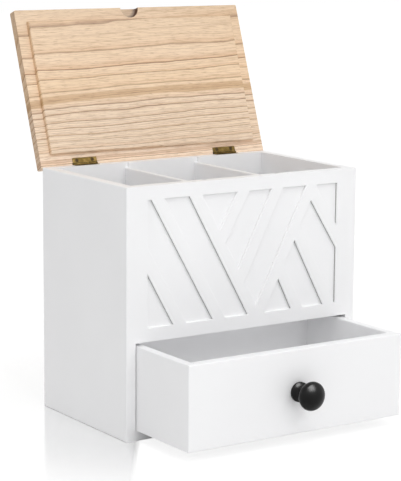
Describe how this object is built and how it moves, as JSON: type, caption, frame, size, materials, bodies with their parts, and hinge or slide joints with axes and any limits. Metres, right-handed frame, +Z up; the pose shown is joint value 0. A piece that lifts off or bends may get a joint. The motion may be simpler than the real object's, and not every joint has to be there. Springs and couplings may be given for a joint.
{
  "type": "storage box with drawer",
  "caption": "White storage box with a hinged pale wooden lid, divided upper compartments, a relief of slanting slats on the front and a drawer with a black knob below.",
  "frame": {"origin": "middle of the base, on the surface the box stands on", "axes": "+Z up, -Y towards the front with the drawer, +X to the right seen from the front"},
  "size_m": [0.241, 0.3073, 0.3528],
  "materials": {
    "white_paint": "satin paint on MDF",
    "pale_wood": "bare, sanded",
    "antique_brass": "darkened",
    "black_gloss": "gloss",
    "zinc_steel": "zinc plated"
  },
  "bodies": {
    "case": {"left_side_panel": "white_paint", "right_side_panel": "white_paint", "bottom_panel": "white_paint", "middle_shelf": "white_paint", "back_panel": "white_paint", "front_panel": "white_paint", "front_fret": "white_paint", "left_divider": "white_paint", "right_divider": "white_paint", "left_hinge_case_leaf": "antique_brass", "right_hinge_case_leaf": "antique_brass", "left_hinge_pin": "antique_brass", "right_hinge_pin": "antique_brass", "case_hinge_screws": "antique_brass"},
    "lid": {"lid_board": "pale_wood", "left_hinge_lid_leaf": "antique_brass", "right_hinge_lid_leaf": "antique_brass", "lid_hinge_screws": "antique_brass"},
    "drawer": {"drawer_front": "white_paint", "drawer_left_side": "white_paint", "drawer_right_side": "white_paint", "drawer_back": "white_paint", "drawer_bottom": "white_paint", "drawer_knob": "black_gloss", "knob_screw": "zinc_steel"}
  },
  "joints": [
    {"name": "lid_hinge", "type": "hinge", "parent": "case", "child": "lid", "pos_m": [0, 0.0723, 0.2173], "axis": [-1, 0, 0], "range_deg": [-109.8, 0]},
    {"name": "drawer_slide", "type": "slide", "parent": "case", "child": "drawer", "axis": [0, -1, 0], "range_m": [-0.08, 0.04]}
  ]
}
